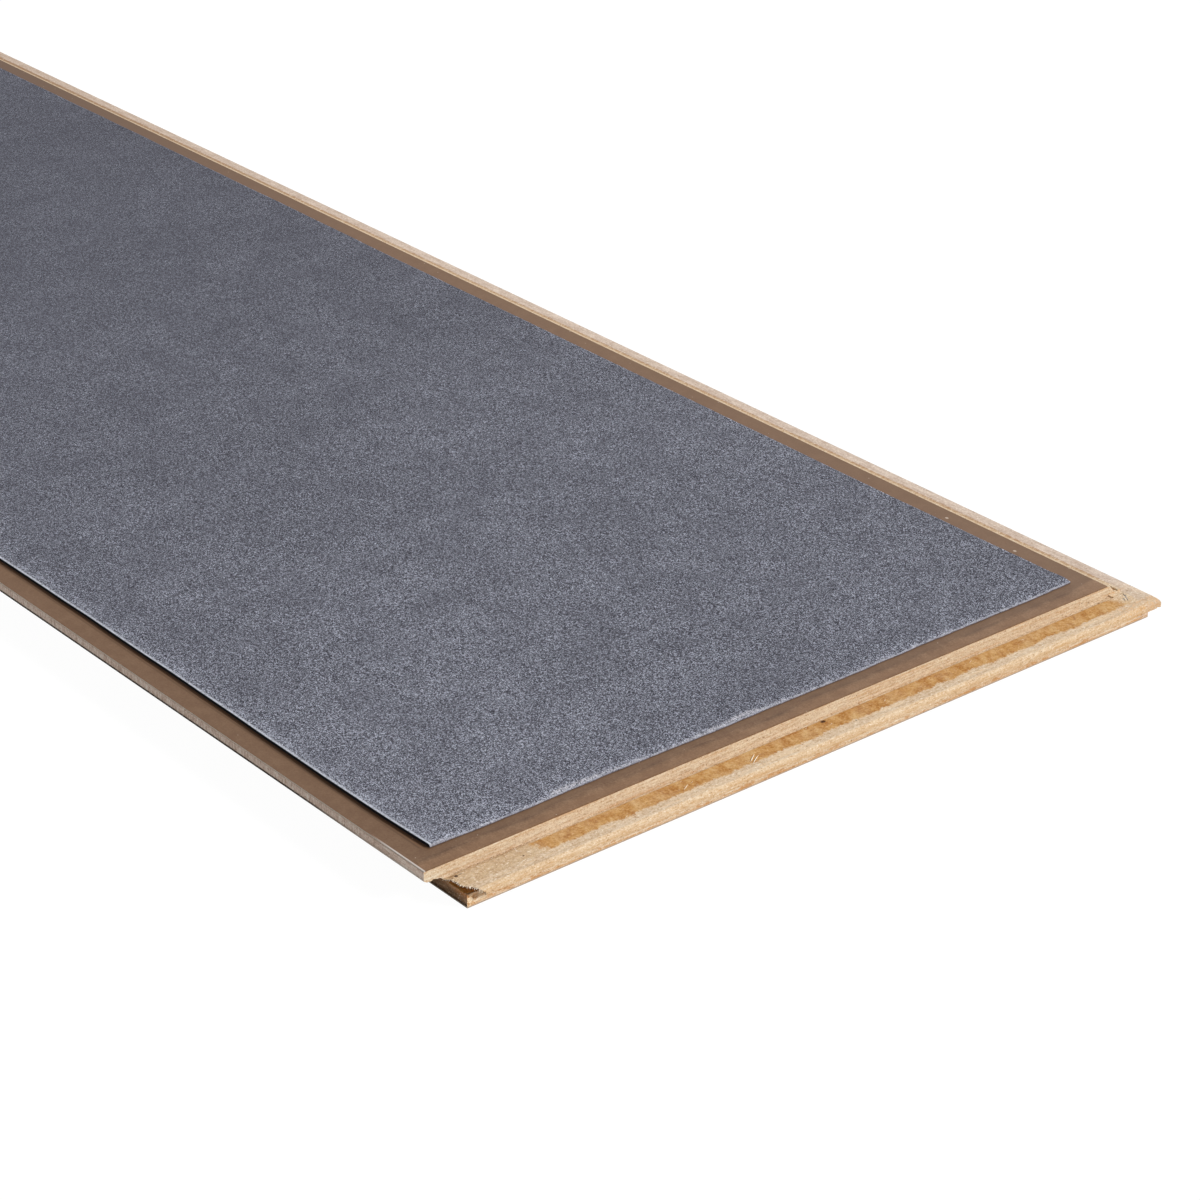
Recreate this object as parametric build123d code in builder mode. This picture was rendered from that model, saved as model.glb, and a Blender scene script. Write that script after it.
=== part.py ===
from build123d import *
import os

# Laminate floor plank, lying on its printed face with the bonded pad on top. Millimetres.
# X runs along the plank, Y across it and Z up. The origin is the middle of the lowest face.
# Tongues point to +X and +Y, grooves open to -X and -Y.

# Printed face, the part that shows once the floor is laid
face_length = 1380.0
face_width = 193.0

# Layers from the floor up
decor_thickness = 0.3
board_thickness = 8.0
backing_thickness = 0.25
pad_thickness = 1.0

# Heights that both kinds of click joint share
seam_height = 3.1  # top of the lip that carries the printed face, at the face edge
seam_fall = 0.1  # how far that lip drops towards the bottom of the groove
joint_play = 0.1  # clearance between the mating faces of tongue and groove
root_play = 0.4  # wider room over the lip's edge, at the root of the tongue
corner_round = 0.15  # milled inner and outer corners

# Click joint of the long sides. Distances run outward from the edge of the printed face.
long_setback = 7.6  # how far the backing stops short of the face edge, on the tongue side
long_reach = 1.3  # how far the tongue passes the face edge
long_lip_reach = 5.9  # how far the groove's lower lip passes the face edge, at its backing
long_lip_draft = 0.12  # the lip's end face leans out by this much below the backing
long_lip_bevel = 0.75  # lead-in under the end of that lip
long_ledge = 0.75  # bare board beside the backing, on the tongue side
long_wall_lean = 0.5  # how far the recess wall leans out from the ledge to the floor
long_recess_floor = 5.1
long_recess_width = 3.05
long_ridge_play = 0.1  # room between the lip's ridge and the recess floor
long_crest_height = 5.95
long_crest_width = 0.9
long_ramp = 0.6  # run of the slanted locking face
long_shoulder_height = 5.2
long_nose_length = 0.4
long_nose_height = 4.6
long_bottom_play = 1.5  # room between the tongue's tip and the bottom of the groove
long_nose_round = 0.35

# Click joint of the short ends, measured in the same way
short_setback = 5.9
short_reach = 2.55
short_lip_reach = 5.7
short_lip_draft = 0.0
short_lip_bevel = 0.15
short_ledge = 0.0
short_wall_lean = 0.0
short_recess_floor = 4.6
short_recess_width = 1.1
short_ridge_play = 0.3
short_crest_height = 5.6
short_crest_width = 0.9
short_ramp = 0.6
short_shoulder_height = 4.95
short_nose_length = 0.65
short_nose_height = 4.3
short_bottom_play = 0.8
short_nose_round = 0.4

# Border of bare backing film left around the pad
pad_end_inset = 5.7
pad_near_inset = 5.6
pad_far_inset = 5.6
pad_edge_round = 0.25

# Broken corner where the long groove runs out through the short tongue: a thin web of board is
# left hanging over the groove and ends in a ragged line.
web_height = 4.3  # underside of that web at the foot of the end face
web_depth = 0.8  # how far it reaches in under the end of the lip
# Ragged end of the web: distance out from the backing's end, distance in from the lip
tear_line = [
    (0, 4.6), (1.65, 4.3), (2.75, 4.45), (3.85, 5.0), (5.0, 5.05),
    (5.85, 5.55), (7.0, 6.7), (7.75, 7.2), (8.45, 8.2),
]
# Underside of the web: distance out from the backing's end, height
web_line = [(0.2, 4.3), (2.7, 5.2), (7.75, 4.6), (8.45, 4.1)]
# Its ragged end below the end face: distance in from the lip, height
burr_line = [(1.4, 5.15), (1.7, 5.1), (2.1, 5.4), (3.1, 5.1), (3.8, 5.05), (4.6, 4.45)]

# Where the recesses run out near the corners of the short tongue
worn_recess_width = 0.2  # at the broken corner the crest is worn to a slope
worn_ramp = 2.4
worn_crest_width = 0.1
worn_length = 4.4  # in from the lip
recess_start = 6.6  # the recess has its full form from here on, in from the lip
recess_end = 0.6  # and up to here, past the backing's far edge
short_run_out_floor = 5.5
long_run_out_floor = 5.7
# Rough fill that closes the long recess at the short end: distance out from the backing, height
stop_line = [(1.35, 7.1), (2.5, 5.8), (3.35, 5.6)]
stop_depth = 0.7

blank_margin = 2.0  # stock left around the finished outline before milling

core_top = board_thickness - backing_thickness
groove_floor = seam_height - seam_fall


def edges(length, reach, lip_end):
    """Low and high edge of the printed face, with the whole board centred on the origin."""
    shift = (lip_end - reach) / 2
    return shift - length / 2, shift + length / 2


def tongue_side(face_edge, joint):
    """Outline of a tongue side from the backing down to the face: position, height, rounding."""
    backing_edge = face_edge - joint["setback"]
    wall = backing_edge + joint["ledge"]
    ramp_start = backing_edge + joint["recess_width"]
    crest_start = ramp_start + joint["ramp"]
    tip = face_edge + joint["reach"]
    return [
        (wall, core_top, 0),
        (wall + joint["wall_lean"], joint["recess_floor"], corner_round),
        (ramp_start, joint["recess_floor"], corner_round),
        (crest_start, joint["crest_height"], corner_round),
        (crest_start + joint["crest_width"], joint["crest_height"], corner_round),
        (tip - joint["nose_length"], joint["shoulder_height"], joint["nose_round"]),
        (tip, joint["nose_height"], joint["nose_round"]),
        (tip, groove_floor + joint_play, corner_round),
        (face_edge, seam_height + root_play, corner_round),
        (face_edge, decor_thickness, 0),
    ]


def groove_side(face_edge, joint):
    """Outline of a groove side from the face up to the backing, shaped to take the mating tongue."""
    ramp_start = face_edge - joint["setback"] + joint["recess_width"] - joint_play
    crest_start = ramp_start + joint["ramp"]
    crest_end = crest_start + joint["crest_width"] + 2 * joint_play
    lip_top = face_edge - joint["lip_reach"]
    lip_end = lip_top - joint["lip_draft"]
    ridge_height = joint["recess_floor"] + joint["ridge_play"]
    tip = face_edge + joint["reach"]
    groove_bottom = tip + joint["bottom_play"]
    return [
        (face_edge, decor_thickness, 0),
        (face_edge, seam_height, corner_round),
        (groove_bottom, groove_floor, corner_round),
        (groove_bottom, joint["nose_height"], corner_round),
        (tip, joint["shoulder_height"] + joint_play, corner_round),
        (crest_end, joint["crest_height"] + joint_play, corner_round),
        (crest_start, joint["crest_height"] + joint_play, corner_round),
        (ramp_start, ridge_height, corner_round),
        (lip_end + joint["lip_bevel"], ridge_height, corner_round),
        (lip_end, ridge_height + joint["lip_bevel"] * 2 / 3, 0),
        (lip_top, core_top, 0),
    ]


def waste(outline, beyond):
    """Closed outline of what is milled off one side, from its profile out past the blank."""
    above = board_thickness + blank_margin
    below = -blank_margin
    start, *middle, end = outline
    start_height, end_height = (above, below) if start[1] > end[1] else (below, above)
    corners = [
        (start[0], start_height, 0),
        *middle,
        (end[0], end_height, 0),
        (beyond, end_height, 0),
        (beyond, start_height, 0),
    ]
    points = [(place, height) for place, height, rounding in corners]
    FilletPolyline(*points, radius=[rounding for place, height, rounding in corners], close=True)


long_joint = {
    "setback": long_setback,
    "reach": long_reach,
    "lip_reach": long_lip_reach,
    "lip_draft": long_lip_draft,
    "lip_bevel": long_lip_bevel,
    "ledge": long_ledge,
    "wall_lean": long_wall_lean,
    "recess_floor": long_recess_floor,
    "recess_width": long_recess_width,
    "ridge_play": long_ridge_play,
    "crest_height": long_crest_height,
    "crest_width": long_crest_width,
    "ramp": long_ramp,
    "shoulder_height": long_shoulder_height,
    "nose_length": long_nose_length,
    "nose_height": long_nose_height,
    "bottom_play": long_bottom_play,
    "nose_round": long_nose_round,
}

short_joint = {
    "setback": short_setback,
    "reach": short_reach,
    "lip_reach": short_lip_reach,
    "lip_draft": short_lip_draft,
    "lip_bevel": short_lip_bevel,
    "ledge": short_ledge,
    "wall_lean": short_wall_lean,
    "recess_floor": short_recess_floor,
    "recess_width": short_recess_width,
    "ridge_play": short_ridge_play,
    "crest_height": short_crest_height,
    "crest_width": short_crest_width,
    "ramp": short_ramp,
    "shoulder_height": short_shoulder_height,
    "nose_length": short_nose_length,
    "nose_height": short_nose_height,
    "bottom_play": short_bottom_play,
    "nose_round": short_nose_round,
}

face_left, face_right = edges(face_length, short_reach, short_lip_reach + short_lip_draft)
face_near, face_far = edges(face_width, long_reach, long_lip_reach + long_lip_draft)

# The backing film covers the core's top face, from lip end to recess
backing_left = face_left - short_lip_reach
backing_right = face_right - short_setback
backing_near = face_near - long_lip_reach
backing_far = face_far - long_setback

# Blank that the core is milled from, larger all round
blank_left = backing_left - blank_margin
blank_right = face_right + short_reach + blank_margin
blank_near = backing_near - blank_margin
blank_far = face_far + long_reach + blank_margin

# What is milled off each side: the profile, a line that lies past the blank, and the stretch
start_x = blank_left - blank_margin
end_x = blank_right + blank_margin
start_y = blank_near - blank_margin
end_y = blank_far + blank_margin
long_run_out = dict(long_joint, recess_floor=long_run_out_floor)
long_waste = [
    (tongue_side(face_far, long_joint), end_y, start_x, backing_right),
    (tongue_side(face_far, long_run_out), end_y, backing_right, end_x),
    (groove_side(face_near, long_joint), start_y, start_x, end_x),
]
worn_joint = dict(
    short_joint, recess_width=worn_recess_width, ramp=worn_ramp, crest_width=worn_crest_width
)
short_run_out = dict(short_joint, recess_floor=short_run_out_floor)
worn_end = backing_near + worn_length
recess_near = backing_near + recess_start
recess_far = backing_far + recess_end
short_waste = [
    (tongue_side(face_right, worn_joint), end_x, start_y, worn_end),
    (tongue_side(face_right, short_joint), end_x, recess_near, recess_far),
    (tongue_side(face_right, short_run_out), end_x, recess_far, end_y),
    (groove_side(face_left, short_joint), start_x, start_y, end_y),
]

with BuildPart() as core_board:
    with BuildSketch(Plane.XY.offset(decor_thickness)):
        with Locations(((blank_left + blank_right) / 2, (blank_near + blank_far) / 2)):
            Rectangle(blank_right - blank_left, blank_far - blank_near)
    extrude(amount=core_top - decor_thickness)
    for outline, beyond, start, end in long_waste:
        with BuildSketch(Plane.YZ.offset(start)):
            with BuildLine():
                waste(outline, beyond)
            make_face()
        extrude(amount=end - start, mode=Mode.SUBTRACT)
    # Broken corner: the groove's roof ends along the ragged line, its web still hangs behind it
    tongue_tip = face_right + short_reach
    groove_middle = (groove_floor + long_nose_height) / 2
    groove_bottom = face_near + long_reach + long_bottom_play
    tear = [(backing_right + out, backing_near + inward) for out, inward in tear_line]
    with BuildSketch(Plane.XY.offset(groove_middle)):
        with BuildLine():
            Polyline(
                (backing_right, backing_near - blank_margin),
                *tear,
                (blank_right, groove_bottom),
                (blank_right, backing_near - blank_margin),
                close=True,
            )
        make_face()
    extrude(amount=board_thickness, mode=Mode.SUBTRACT)
    with BuildSketch(Plane.XY.offset(groove_middle)):
        with BuildLine():
            Polyline(*tear, (tongue_tip, groove_bottom), (backing_right, groove_bottom), close=True)
        make_face()
    extrude(amount=core_top - groove_middle)
    underside = [(backing_right + out, height) for out, height in web_line]
    with BuildSketch(Plane.XZ.offset(-start_y)):
        with BuildLine():
            Polyline(
                (backing_right, web_line[0][1]),
                *underside,
                (end_x, web_line[-1][1]),
                (end_x, groove_middle),
                (backing_right, groove_middle),
                close=True,
            )
        make_face()
    extrude(amount=start_y - groove_bottom, mode=Mode.SUBTRACT)
    burr = [(backing_near + inward, height) for inward, height in burr_line]
    with BuildSketch(Plane.YZ.offset(backing_right - web_depth)):
        with BuildLine():
            Polyline(
                (burr[0][0], core_top),
                *burr,
                (groove_bottom, web_height),
                (groove_bottom, core_top),
                close=True,
            )
        make_face()
    extrude(amount=web_depth)
    # Rough end of the long recess
    recess_wall = backing_far + long_ledge
    stop = [(backing_far + out, height) for out, height in stop_line]
    with BuildSketch(Plane.YZ.offset(backing_right - stop_depth)):
        with BuildLine():
            Polyline(
                (recess_wall, core_top),
                *stop,
                (backing_far + long_recess_width, long_recess_floor),
                (recess_wall, long_recess_floor),
                close=True,
            )
        make_face()
    extrude(amount=stop_depth)
    for outline, beyond, start, end in short_waste:
        with BuildSketch(Plane.XZ.offset(-start)):
            with BuildLine():
                waste(outline, beyond)
            make_face()
        extrude(amount=start - end, mode=Mode.SUBTRACT)
    # Between the worn corner and the full recess one form runs into the other
    for joint, place in ((worn_joint, worn_end), (short_joint, recess_near)):
        with BuildSketch(Plane.XZ.offset(-place)):
            with BuildLine():
                waste(tongue_side(face_right, joint), end_x)
            make_face()
    loft(ruled=True, mode=Mode.SUBTRACT)
    # Chips that nothing holds once both profiles are milled
    loose_chips = core_board.solids().sort_by(SortBy.VOLUME)[:-1]
    if loose_chips:
        add(loose_chips, mode=Mode.SUBTRACT)

# Printed and sealed face layer, the face that the plank lies on
with BuildPart() as decor_layer:
    with BuildSketch(Plane.XY):
        with Locations(((face_left + face_right) / 2, (face_near + face_far) / 2)):
            Rectangle(face_length, face_width)
    extrude(amount=decor_thickness)

# Brown balancing film on the back of the board
with BuildPart() as backing_film:
    with BuildSketch(Plane.XY.offset(core_top)):
        with Locations(((backing_left + backing_right) / 2, (backing_near + backing_far) / 2)):
            Rectangle(backing_right - backing_left, backing_far - backing_near)
    extrude(amount=backing_thickness)

# Bonded underlay pad, its cut edges softened along the top
pad_left = backing_left + pad_end_inset
pad_right = backing_right - pad_end_inset
pad_near = backing_near + pad_near_inset
pad_far = backing_far - pad_far_inset
with BuildPart() as underlay_pad:
    with BuildSketch(Plane.XY.offset(board_thickness)):
        with Locations(((pad_left + pad_right) / 2, (pad_near + pad_far) / 2)):
            Rectangle(pad_right - pad_left, pad_far - pad_near)
    extrude(amount=pad_thickness)
    fillet(underlay_pad.faces().sort_by(Axis.Z)[-1].edges(), radius=pad_edge_round)

core_board.part.label = "core_board"
decor_layer.part.label = "decor_layer"
backing_film.part.label = "backing_film"
underlay_pad.part.label = "underlay_pad"

os.makedirs("parts", exist_ok=True)
export_step(core_board.part, "parts/core_board.step")
export_step(decor_layer.part, "parts/decor_layer.step")
export_step(backing_film.part, "parts/backing_film.step")
export_step(underlay_pad.part, "parts/underlay_pad.step")
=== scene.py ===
import bpy
import bmesh
import math
import random
from mathutils import Matrix, Vector, noise


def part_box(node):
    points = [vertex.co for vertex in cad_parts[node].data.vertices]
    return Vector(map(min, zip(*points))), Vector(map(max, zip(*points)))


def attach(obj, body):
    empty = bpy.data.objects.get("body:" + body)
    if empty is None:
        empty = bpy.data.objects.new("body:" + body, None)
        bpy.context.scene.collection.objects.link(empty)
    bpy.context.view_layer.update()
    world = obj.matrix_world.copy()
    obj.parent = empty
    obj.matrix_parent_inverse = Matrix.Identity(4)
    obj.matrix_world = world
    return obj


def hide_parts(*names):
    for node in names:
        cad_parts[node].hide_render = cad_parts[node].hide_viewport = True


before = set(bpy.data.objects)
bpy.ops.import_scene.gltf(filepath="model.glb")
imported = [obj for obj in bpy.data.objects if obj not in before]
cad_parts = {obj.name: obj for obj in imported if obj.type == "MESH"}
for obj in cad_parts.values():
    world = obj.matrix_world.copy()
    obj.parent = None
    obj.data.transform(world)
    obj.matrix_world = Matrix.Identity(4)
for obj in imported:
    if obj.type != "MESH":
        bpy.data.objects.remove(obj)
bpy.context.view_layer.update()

MM = 0.001


def node_box(name):
    """Low and high corner of a CAD node, in millimetres."""
    return [Vector(corner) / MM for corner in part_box(name)]


FILM_LOW, FILM_HIGH = node_box("backing_film")
PAD_LOW, PAD_HIGH = node_box("underlay_pad")
FACE_LOW, FACE_HIGH = node_box("decor_layer")
CORE_HIGH = node_box("core_board")[1]

# Form of the milled edges, in millimetres. Out is the distance past the end of the film, inward
# the distance in from the near lip, and beyond the distance past the film's far edge.
RECESS_OUT, RECESS_HEIGHT = 1.1, 4.6  # end of the short tongue's recess floor
CREST_START, CREST_END, CREST_HEIGHT = 1.7, 2.6, 5.6
TIP_OUT, TIP_HEIGHT = CORE_HIGH.x - FILM_HIGH.x, 4.3
SHOULDER_OUT, SHOULDER_HEIGHT = TIP_OUT - 0.65, 4.95
FACE_OUT = FACE_HIGH.x - FILM_HIGH.x  # edge of the printed face at the short end
FACE_INWARD = FACE_LOW.y - FILM_LOW.y  # edge of the printed face along the near side
SEAM_HEIGHT = 3.1  # top of the lip that carries the printed face
GROOVE_BOTTOM = 8.7  # how far inward the long groove reaches
FAR_CREST_START, FAR_CREST_END = 3.65, 4.55  # top of the far tongue's locking crest, beyond the film
DULL_STRETCH = (470.0, 200.0)  # along the plank, the far side turns duller between these places


# Helpers for materials

class Paint:
    """One material and short ways to add nodes to it. Sizes and places are in millimetres.
    color is what has been laid on so far, and tint lays more over it."""

    def __init__(self, name):
        self.material = bpy.data.materials.new(name)
        self.material.use_nodes = True
        self.tree = self.material.node_tree
        self.tree.nodes.clear()
        self.output = self.node("ShaderNodeOutputMaterial")
        self.shader = self.node("ShaderNodeBsdfPrincipled")
        self.link(self.shader.outputs["BSDF"], self.output.inputs["Surface"])
        coordinates = self.node("ShaderNodeTexCoord")
        self.place = coordinates.outputs["Object"]
        self.x, self.y, self.z = (self.math("MULTIPLY", part, 1 / MM) for part in self.split(self.place))
        self.face_x, self.face_y, self.face_z = self.split(coordinates.outputs["Normal"])
        self.color = None

    def node(self, kind, **settings):
        made = self.tree.nodes.new(kind)
        for key, value in settings.items():
            setattr(made, key, value)
        return made

    def link(self, a, b):
        self.tree.links.new(a, b)

    def feed(self, socket, value):
        if hasattr(value, "is_output"):
            self.link(value, socket)
        else:
            socket.default_value = value

    def split(self, vector):
        made = self.node("ShaderNodeSeparateXYZ")
        self.link(vector, made.inputs[0])
        return made.outputs

    def math(self, operation, *values):
        made = self.node("ShaderNodeMath", operation=operation)
        for socket, value in zip(made.inputs, values):
            self.feed(socket, value)
        return made.outputs[0]

    def add(self, a, b):
        return self.math("ADD", a, b)

    def less(self, a, b):
        return self.math("SUBTRACT", a, b)

    def times(self, first, *others):
        for other in others:
            first = self.math("MULTIPLY", first, other)
        return first

    def blend(self, *weighted):
        """Sum of values, each times its weight."""
        total = None
        for value, weight in weighted:
            term = self.math("MULTIPLY", value, weight)
            total = term if total is None else self.add(total, term)
        return total

    def stretched(self, stretch, shift=0.0):
        """Place for a pattern, stretched, and moved so that no two patterns coincide."""
        made = self.node("ShaderNodeMapping")
        made.inputs["Location"].default_value = (shift, shift * 1.7, shift * 0.6)
        made.inputs["Scale"].default_value = [part / MM for part in stretch]
        self.link(self.place, made.inputs["Vector"])
        return made.outputs[0]

    def noise(self, size, detail=2.0, rough=0.5, stretch=(1, 1, 1), distortion=0.0, shift=0.0):
        """Noise between 0 and 1 whose blots are about size across."""
        made = self.node("ShaderNodeTexNoise")
        self.link(self.stretched(stretch, shift), made.inputs["Vector"])
        made.inputs["Scale"].default_value = 1 / size
        made.inputs["Detail"].default_value = detail
        made.inputs["Roughness"].default_value = rough
        made.inputs["Distortion"].default_value = distortion
        return made.outputs["Fac"]

    def cells(self, size, stretch=(1, 1, 1), output="Color", shift=0.0):
        made = self.node("ShaderNodeTexVoronoi")
        self.link(self.stretched(stretch, shift), made.inputs["Vector"])
        made.inputs["Scale"].default_value = 1 / size
        return made.outputs[output]

    def channels(self, color):
        made = self.node("ShaderNodeSeparateColor")
        self.link(color, made.inputs[0])
        return made.outputs

    def attribute(self, name):
        return self.node("ShaderNodeAttribute", attribute_name=name).outputs["Fac"]

    def step(self, value, low, high, to_low=0.0, to_high=1.0):
        """Maps low..high smoothly to to_low..to_high, held beyond both ends."""
        made = self.node("ShaderNodeMapRange", interpolation_type="SMOOTHSTEP")
        self.feed(made.inputs["Value"], value)
        self.feed(made.inputs["From Min"], low)
        self.feed(made.inputs["From Max"], high)
        self.feed(made.inputs["To Min"], to_low)
        self.feed(made.inputs["To Max"], to_high)
        return made.outputs["Result"]

    def between(self, value, low, high, soft=0.1):
        """1 between low and high, 0 outside, with soft borders."""
        risen = self.step(value, low - soft, low + soft)
        return self.times(risen, self.step(value, high + soft, high - soft))

    def spot(self, centre, radii):
        """1 at a place, 0 beyond the radii."""
        total = None
        for part, at, radius in zip((self.x, self.y, self.z), centre, radii):
            away = self.math("MULTIPLY", self.less(part, at), 1 / radius)
            squared = self.times(away, away)
            total = squared if total is None else self.add(total, squared)
        return self.step(total, 1.0, 0.3)

    def mix(self, a, b, share):
        made = self.node("ShaderNodeMix", data_type="RGBA")
        self.feed(made.inputs["Factor"], share)
        self.feed(made.inputs["A"], a)
        self.feed(made.inputs["B"], b)
        return made.outputs["Result"]

    def ramp(self, value, *stops):
        made = self.node("ShaderNodeValToRGB")
        elements = made.color_ramp.elements
        while len(elements) < len(stops):
            elements.new(0.5)
        for element, (where, color) in zip(elements, stops):
            element.position = where
            element.color = color
        self.feed(made.inputs["Fac"], value)
        return made.outputs["Color"]

    def tint(self, color, share):
        """Lays a colour over what is there, by a share from 0 to 1."""
        self.color = self.mix(self.color, color, share)

    def bump(self, height, strength, distance):
        made = self.node("ShaderNodeBump")
        made.inputs["Strength"].default_value = strength
        made.inputs["Distance"].default_value = distance * MM
        self.feed(made.inputs["Height"], height)
        self.link(made.outputs["Normal"], self.shader.inputs["Normal"])

    def finish(self, roughness, specular):
        self.feed(self.shader.inputs["Base Color"], self.color)
        self.feed(self.shader.inputs["Roughness"], roughness)
        self.shader.inputs["Specular IOR Level"].default_value = specular
        return self.material


def srgb(r, g, b):
    """Linear colour from 8-bit screen values."""
    def linear(v):
        v = v / 255
        return v / 12.92 if v <= 0.04045 else ((v + 0.055) / 1.055) ** 2.4
    return (linear(r), linear(g), linear(b), 1.0)


# Bonded pad: bluish grey grains, paler where the cut edges are pressed down

def pad_tone(p, grains, clear):
    """Brightness of the grains, with faint clouds and wiped streaks, and painted light falloff: darker far
    from the short end, brighter towards the short end's near side.
    """
    cloud = p.noise(8, detail=3)
    broad = p.noise(60, detail=2, stretch=(0.6, 1.0, 1.0))
    wiped = p.noise(13, detail=3, stretch=(1, 0.12, 1), shift=5.0)
    tone = p.add(0.5, p.times(p.less(grains, 0.5), clear))
    tone = p.add(tone, p.step(cloud, 0.3, 0.7, -0.01, 0.01))
    tone = p.add(tone, p.step(broad, 0.35, 0.65, -0.01, 0.01))
    tone = p.add(tone, p.step(wiped, 0.35, 0.65, -0.012, 0.012))
    # Painted light falloff: the grains darken away from the short end
    tone = p.add(tone, p.step(p.x, PAD_HIGH.x - 40, PAD_HIGH.x - 480, 0.0, -0.042))
    # Painted light: brighter towards the short end, most on the near side
    painted_light_near_end = p.step(p.x, PAD_HIGH.x - 150, PAD_HIGH.x, 0.0, 0.045)
    return p.add(tone, p.times(painted_light_near_end, p.step(p.y, 20.0, -95.0, 0.1, 1.0)))


def edge_haze(p, to_near, to_end):
    """Paler grains along the cut edges."""
    patches = p.noise(3.2, detail=3, rough=0.6)
    haze = p.math("MAXIMUM", p.step(to_near, 4.5, 0.2, 0.0, 0.13), p.step(to_end, 3.2, 0.2, 0.0, 0.08))
    return p.times(haze, p.step(patches, 0.3, 0.6, 0.5, 1.0))


def crushed_rim(p, to_end, coarse, fine):
    """Share of crushed grains at the short end, where the rim is wider in some places."""
    near_part = p.times(p.step(p.y, -63.8, -62.6), p.step(p.y, -62.0, -34.0, 1.25, 0.1))
    far_part = p.times(p.step(p.y, -34.0, -15.0, 0.15, 0.8), p.step(p.y, -8.5, -5.0, 1.0, 0.4))
    far_part = p.times(far_part, p.step(p.y, 7.0, 4.0))
    blob = p.times(p.between(p.y, -15.5, -8.0, 1.5), 0.5)
    wide = p.math("MAXIMUM", near_part, p.add(far_part, blob))
    wander = p.step(p.noise(6, detail=4, rough=0.65, stretch=(0, 1, 0)), 0.4, 0.75, 0.05, 0.5)
    width = p.add(wander, wide)
    torn = p.noise(0.6, detail=3, rough=0.75, stretch=(1, 0.6, 1))
    ragged = p.blend((torn, 0.8), (coarse, 0.25), (fine, 0.2))
    rim = p.step(p.less(to_end, width), 0.3, -0.3)
    return p.times(rim, p.step(ragged, 0.48, 0.82, 0.05, 0.84))


def pad_paint():
    p = Paint("pad_grains")
    to_near = p.attribute("to_near")
    to_end = p.attribute("to_end")
    coarse = p.channels(p.cells(0.24))[0]
    fine = p.channels(p.cells(0.15, shift=3.0))
    grains = p.blend((coarse, 0.5), (fine[1], 0.5))
    clear = p.step(p.x, PAD_HIGH.x - 380, PAD_HIGH.x - 40, 0.62, 1.0)
    clear = p.times(clear, p.step(p.noise(14, detail=2, shift=11.0), 0.35, 0.62, 0.88, 1.08))
    p.color = p.ramp(
        p.add(pad_tone(p, grains, clear), edge_haze(p, to_near, to_end)),
        (0.1, srgb(24, 23, 29)),
        (0.4, srgb(68, 68, 77)),
        (0.62, srgb(102, 103, 114)),
        (0.96, srgb(196, 200, 214)),
    )
    # Painted glints: pale specks that stand in for specular highlights on the grains
    painted_glints = p.step(fine[2], 0.95, 0.97)
    p.tint(srgb(208, 214, 228), p.times(painted_glints, clear, 0.7))
    # Painted highlight: a bright catch-light line along the near edge
    broken = p.noise(0.9, detail=4, rough=0.75)
    painted_highlight = p.times(p.step(to_near, 0.75, 0.4), p.step(broken, 0.34, 0.56, 0.45, 1.0))
    painted_highlight = p.times(painted_highlight, p.step(fine[2], 0.1, 0.5, 0.7, 1.0))
    p.tint(srgb(222, 226, 236), painted_highlight)
    p.tint(srgb(206, 205, 212), crushed_rim(p, to_end, coarse, fine[1]))
    # Bright line on the short end, and painted shadow along the foot of its cut face
    broken = p.noise(1.6, detail=2, stretch=(0, 1, 0))
    line = p.times(p.step(to_end, 0.3, 0.15), p.step(broken, 0.35, 0.6, 0.1, 0.6))
    p.tint(srgb(172, 174, 188), line)
    foot = p.times(p.step(p.face_x, 0.5, 0.8), p.step(p.z, PAD_LOW.z + 0.24, PAD_LOW.z + 0.12))
    p.tint(srgb(84, 66, 58), p.times(foot, 0.85))
    # The near cut face is painted near-black: painted shade on the side turned away from the lamps
    p.tint(srgb(24, 23, 30), p.step(p.face_y, -0.4, -0.7))
    p.bump(grains, strength=0.35, distance=0.1)
    return p.finish(roughness=0.8, specular=0.12)


# Raw pressed fibreboard. Each function below lays one feature of the photo over the core.

class BoardPaint(Paint):
    """Paint of the core, with its own measures, the ways its faces look and shared grains."""

    def __init__(self, name):
        super().__init__(name)
        self.out = self.less(self.x, FILM_HIGH.x)
        self.inward = self.less(self.y, FILM_LOW.y)
        self.beyond = self.less(self.y, FILM_HIGH.y)
        self.up = self.step(self.face_z, 0.6, 0.9)
        self.standing = self.step(self.face_x, 0.6, 0.9)
        self.to_near_side = self.step(self.face_y, -0.5, -0.8)
        self.specks = self.noise(0.34, detail=4, rough=0.8)
        self.streaks = self.noise(0.45, detail=3, rough=0.65, stretch=(1, 0.22, 1.7), shift=4.0)
        self.grit = self.noise(0.5, detail=4, rough=0.8, stretch=(1, 0.7, 1), shift=12.0)


def raw_fibres(p):
    """Fine specks, streaks along the milled edges and flakes. Returns their mix."""
    flakes = p.channels(p.cells(0.55, stretch=(1, 0.45, 1.6)))[0]
    tone = p.blend((p.specks, 0.7), (p.streaks, 0.36), (flakes, 0.08))
    p.color = p.ramp(
        tone,
        (0.42, srgb(176, 134, 96)),
        (0.5, srgb(208, 175, 139)),
        (0.57, srgb(222, 198, 166)),
        (0.65, srgb(232, 213, 184)),
        (0.77, srgb(247, 234, 214)),
    )
    rusty = p.noise(0.8, detail=4, rough=0.75, stretch=(1, 0.6, 1.3), shift=9.0)
    p.tint(srgb(210, 166, 112), p.times(p.step(rusty, 0.54, 0.68), 0.45))
    return tone


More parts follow.
